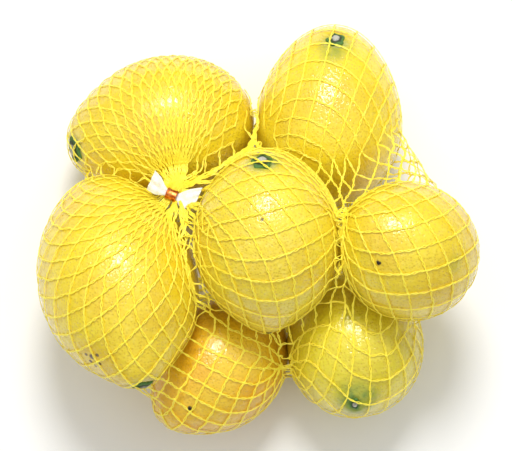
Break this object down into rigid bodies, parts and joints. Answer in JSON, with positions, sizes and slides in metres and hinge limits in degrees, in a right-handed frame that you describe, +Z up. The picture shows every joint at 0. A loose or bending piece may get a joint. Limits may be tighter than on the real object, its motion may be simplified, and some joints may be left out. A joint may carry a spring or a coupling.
{
  "type": "net of lemons",
  "caption": "Tight knitted net holding lemons in an uneven heap, gathered at the top under a crimped ring with a short white bow.",
  "frame": {"origin": "middle of the heap's box, on the surface it rests on", "axes": "+Z up, towards the gathered mouth; +X along the heap's longest side, +Y along its other side"},
  "size_m": [0.1806, 0.1738, 0.0963],
  "materials": {
    "lemon_and_net": "waxy peel under satin knitted yarn",
    "lemon_peel": "waxy, finely pitted",
    "net_yarn": "satin",
    "stem_end": "matt, dry",
    "copper_ring": "satin",
    "white_tape": "satin"
  },
  "bodies": {
    "root": {"lemon_net_bag": "lemon_and_net", "crimp_ring": "copper_ring", "bow_tape": "white_tape"}
  },
  "joints": []
}
